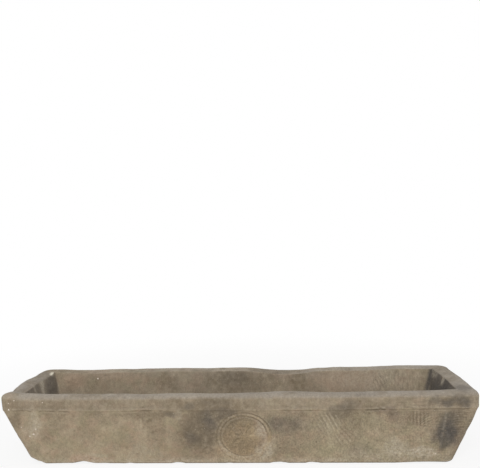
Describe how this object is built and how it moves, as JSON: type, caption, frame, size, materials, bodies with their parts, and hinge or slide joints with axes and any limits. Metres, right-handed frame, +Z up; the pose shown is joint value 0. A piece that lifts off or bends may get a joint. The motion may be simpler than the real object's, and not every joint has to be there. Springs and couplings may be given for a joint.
{
  "type": "trough planter",
  "caption": "Long, low trough planter of weathered cast stone, with leaning sides, a rolled uneven rim over a scored crease, an open cavity and drain holes in its floor.",
  "frame": {"origin": "middle of the flat underside, which rests on the ground", "axes": "+X along the trough's length, towards the right as seen from the front; +Y towards the back, away from the side with the round seal; +Z up"},
  "size_m": [1, 0.25, 0.16],
  "materials": {
    "weathered_stone": "matte"
  },
  "bodies": {
    "root": {"trough_body": "weathered_stone"}
  },
  "joints": []
}
